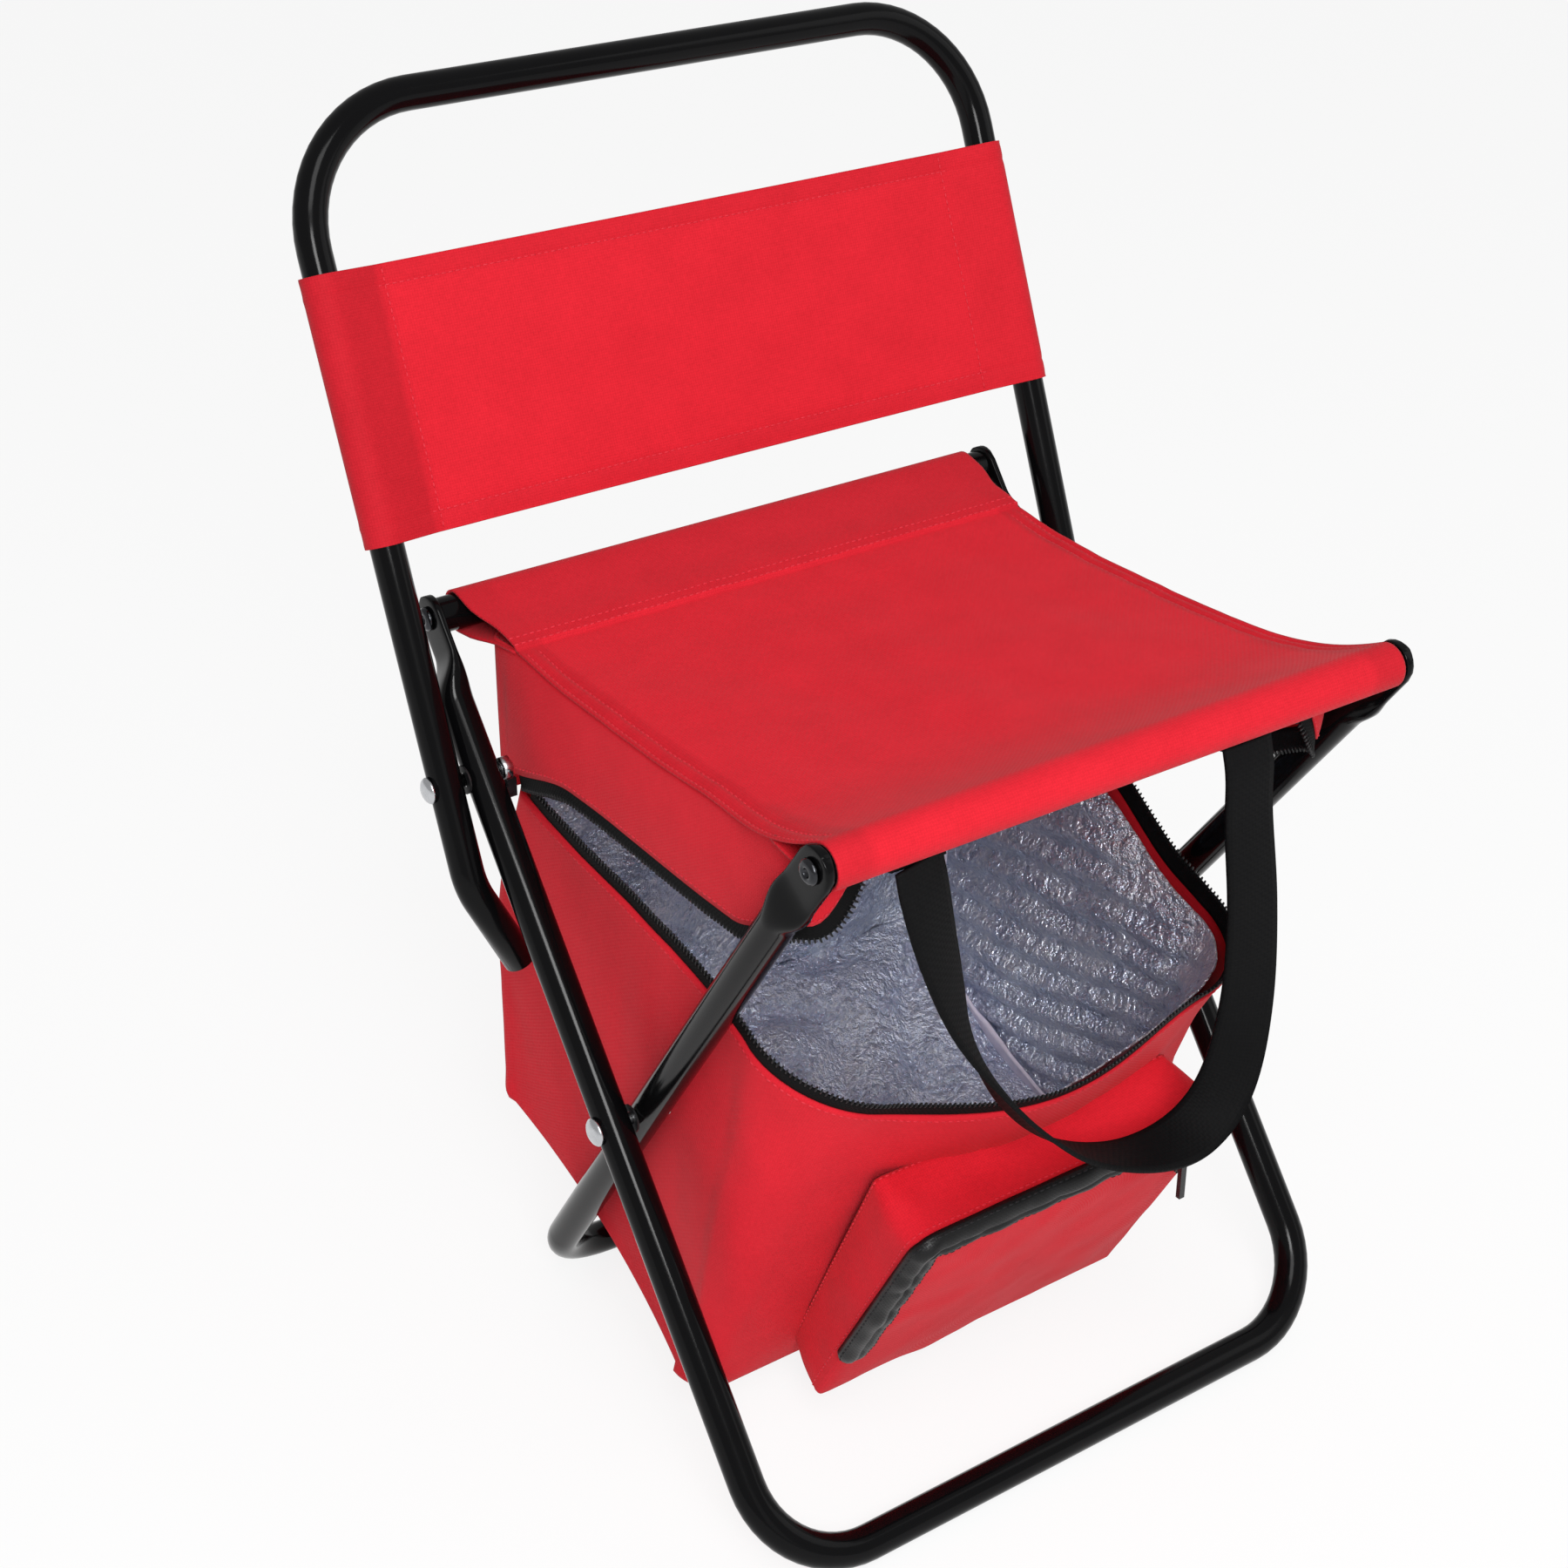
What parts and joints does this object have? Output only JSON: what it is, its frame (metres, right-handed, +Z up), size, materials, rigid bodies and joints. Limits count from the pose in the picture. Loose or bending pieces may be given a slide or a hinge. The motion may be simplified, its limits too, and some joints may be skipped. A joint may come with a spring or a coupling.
{
  "type": "folding cooler stool with backrest",
  "caption": "Folding stool on two crossed U-shaped tube frames with a sling seat, hinged backrest, insulated zip bag under the seat, front pocket and carrying strap.",
  "frame": {"origin": "on the floor under the middle of the stool's bounding box", "axes": "+X to the sitter's left, -Y the way the sitter faces, +Z up"},
  "size_m": [0.3718, 0.3752, 0.5725],
  "materials": {
    "black_steel": "gloss black powder coat",
    "zinc_steel": "zinc plated",
    "black_nylon": "moulded nylon",
    "red_polyester": "coated oxford weave",
    "black_webbing": "woven tape",
    "foil_film": "crinkled metallised film",
    "foam": "closed-cell foam",
    "zip_metal": "black lacquer"
  },
  "bodies": {
    "outer_frame": {"outer_leg_frame": "black_steel", "rear_seat_rail": "black_steel", "rear_rail_plug_left": "black_nylon", "rear_rail_rivet_left": "zinc_steel", "rear_rail_plug_right": "black_nylon", "rear_rail_rivet_right": "zinc_steel", "cross_rivet_left": "zinc_steel", "cross_washer_left": "black_nylon", "back_rivet_left": "zinc_steel", "back_washer_left": "black_nylon", "back_nut_left": "black_nylon", "cross_rivet_right": "zinc_steel", "cross_washer_right": "black_nylon", "back_rivet_right": "zinc_steel", "back_washer_right": "black_nylon", "back_nut_right": "black_nylon", "seat_sling": "red_polyester", "lid_skirt": "red_polyester", "cooler_bag": "red_polyester", "front_pocket": "red_polyester", "bag_insulation": "foam", "foil_lining": "foil_film", "zip_upper_tape": "black_webbing", "zip_lower_tape": "black_webbing", "pocket_zip_tape": "black_webbing"},
    "inner_frame": {"inner_leg_frame": "black_steel", "front_seat_rail": "black_steel", "front_rail_plug_left": "black_nylon", "front_rail_plug_right": "black_nylon", "front_rail_rivet_left": "zinc_steel", "front_rail_rivet_right": "zinc_steel", "shoulder_strap": "black_webbing", "strap_tab_left": "black_webbing", "strap_tab_right": "black_webbing"},
    "back": {"back_frame": "black_steel", "back_panel": "red_polyester"},
    "mouth_slider": {"mouth_zip_slider": "zip_metal"},
    "mouth_pull": {"mouth_zip_pull": "zip_metal"},
    "pocket_slider": {"pocket_zip_slider": "zip_metal"},
    "pocket_pull": {"pocket_zip_pull": "zip_metal"}
  },
  "joints": [
    {"name": "fold", "type": "hinge", "parent": "outer_frame", "child": "inner_frame", "pos_m": [0, -0.02865, 0.171], "axis": [-1, 0, 0], "range_deg": [0, 64], "deforming": ["seat_sling", "lid_skirt", "cooler_bag", "bag_insulation", "foil_lining", "zip_upper_tape", "zip_lower_tape", "front_pocket", "pocket_zip_tape", "shoulder_strap"]},
    {"name": "back_tilt", "type": "hinge", "parent": "outer_frame", "child": "back", "pos_m": [0, 0.07198, 0.29796], "axis": [1, 0, 0], "range_deg": [-8.5, 72]},
    {"name": "mouth_slider_travel", "type": "slide", "parent": "outer_frame", "child": "mouth_slider", "axis": [0, -1, 0], "range_m": [0, 0.12]},
    {"name": "mouth_pull_swing", "type": "hinge", "parent": "mouth_slider", "child": "mouth_pull", "pos_m": [-0.1429, 0.08515, 0.2819], "axis": [0, 1, 0], "range_deg": [0, 80]},
    {"name": "pocket_slider_travel", "type": "slide", "parent": "outer_frame", "child": "pocket_slider", "axis": [-1, 0, 0], "range_m": [0, 0.11]},
    {"name": "pocket_pull_swing", "type": "hinge", "parent": "pocket_slider", "child": "pocket_pull", "pos_m": [0.057, -0.15818, 0.14435], "axis": [-1, 0, 0], "range_deg": [-20, 80]}
  ]
}
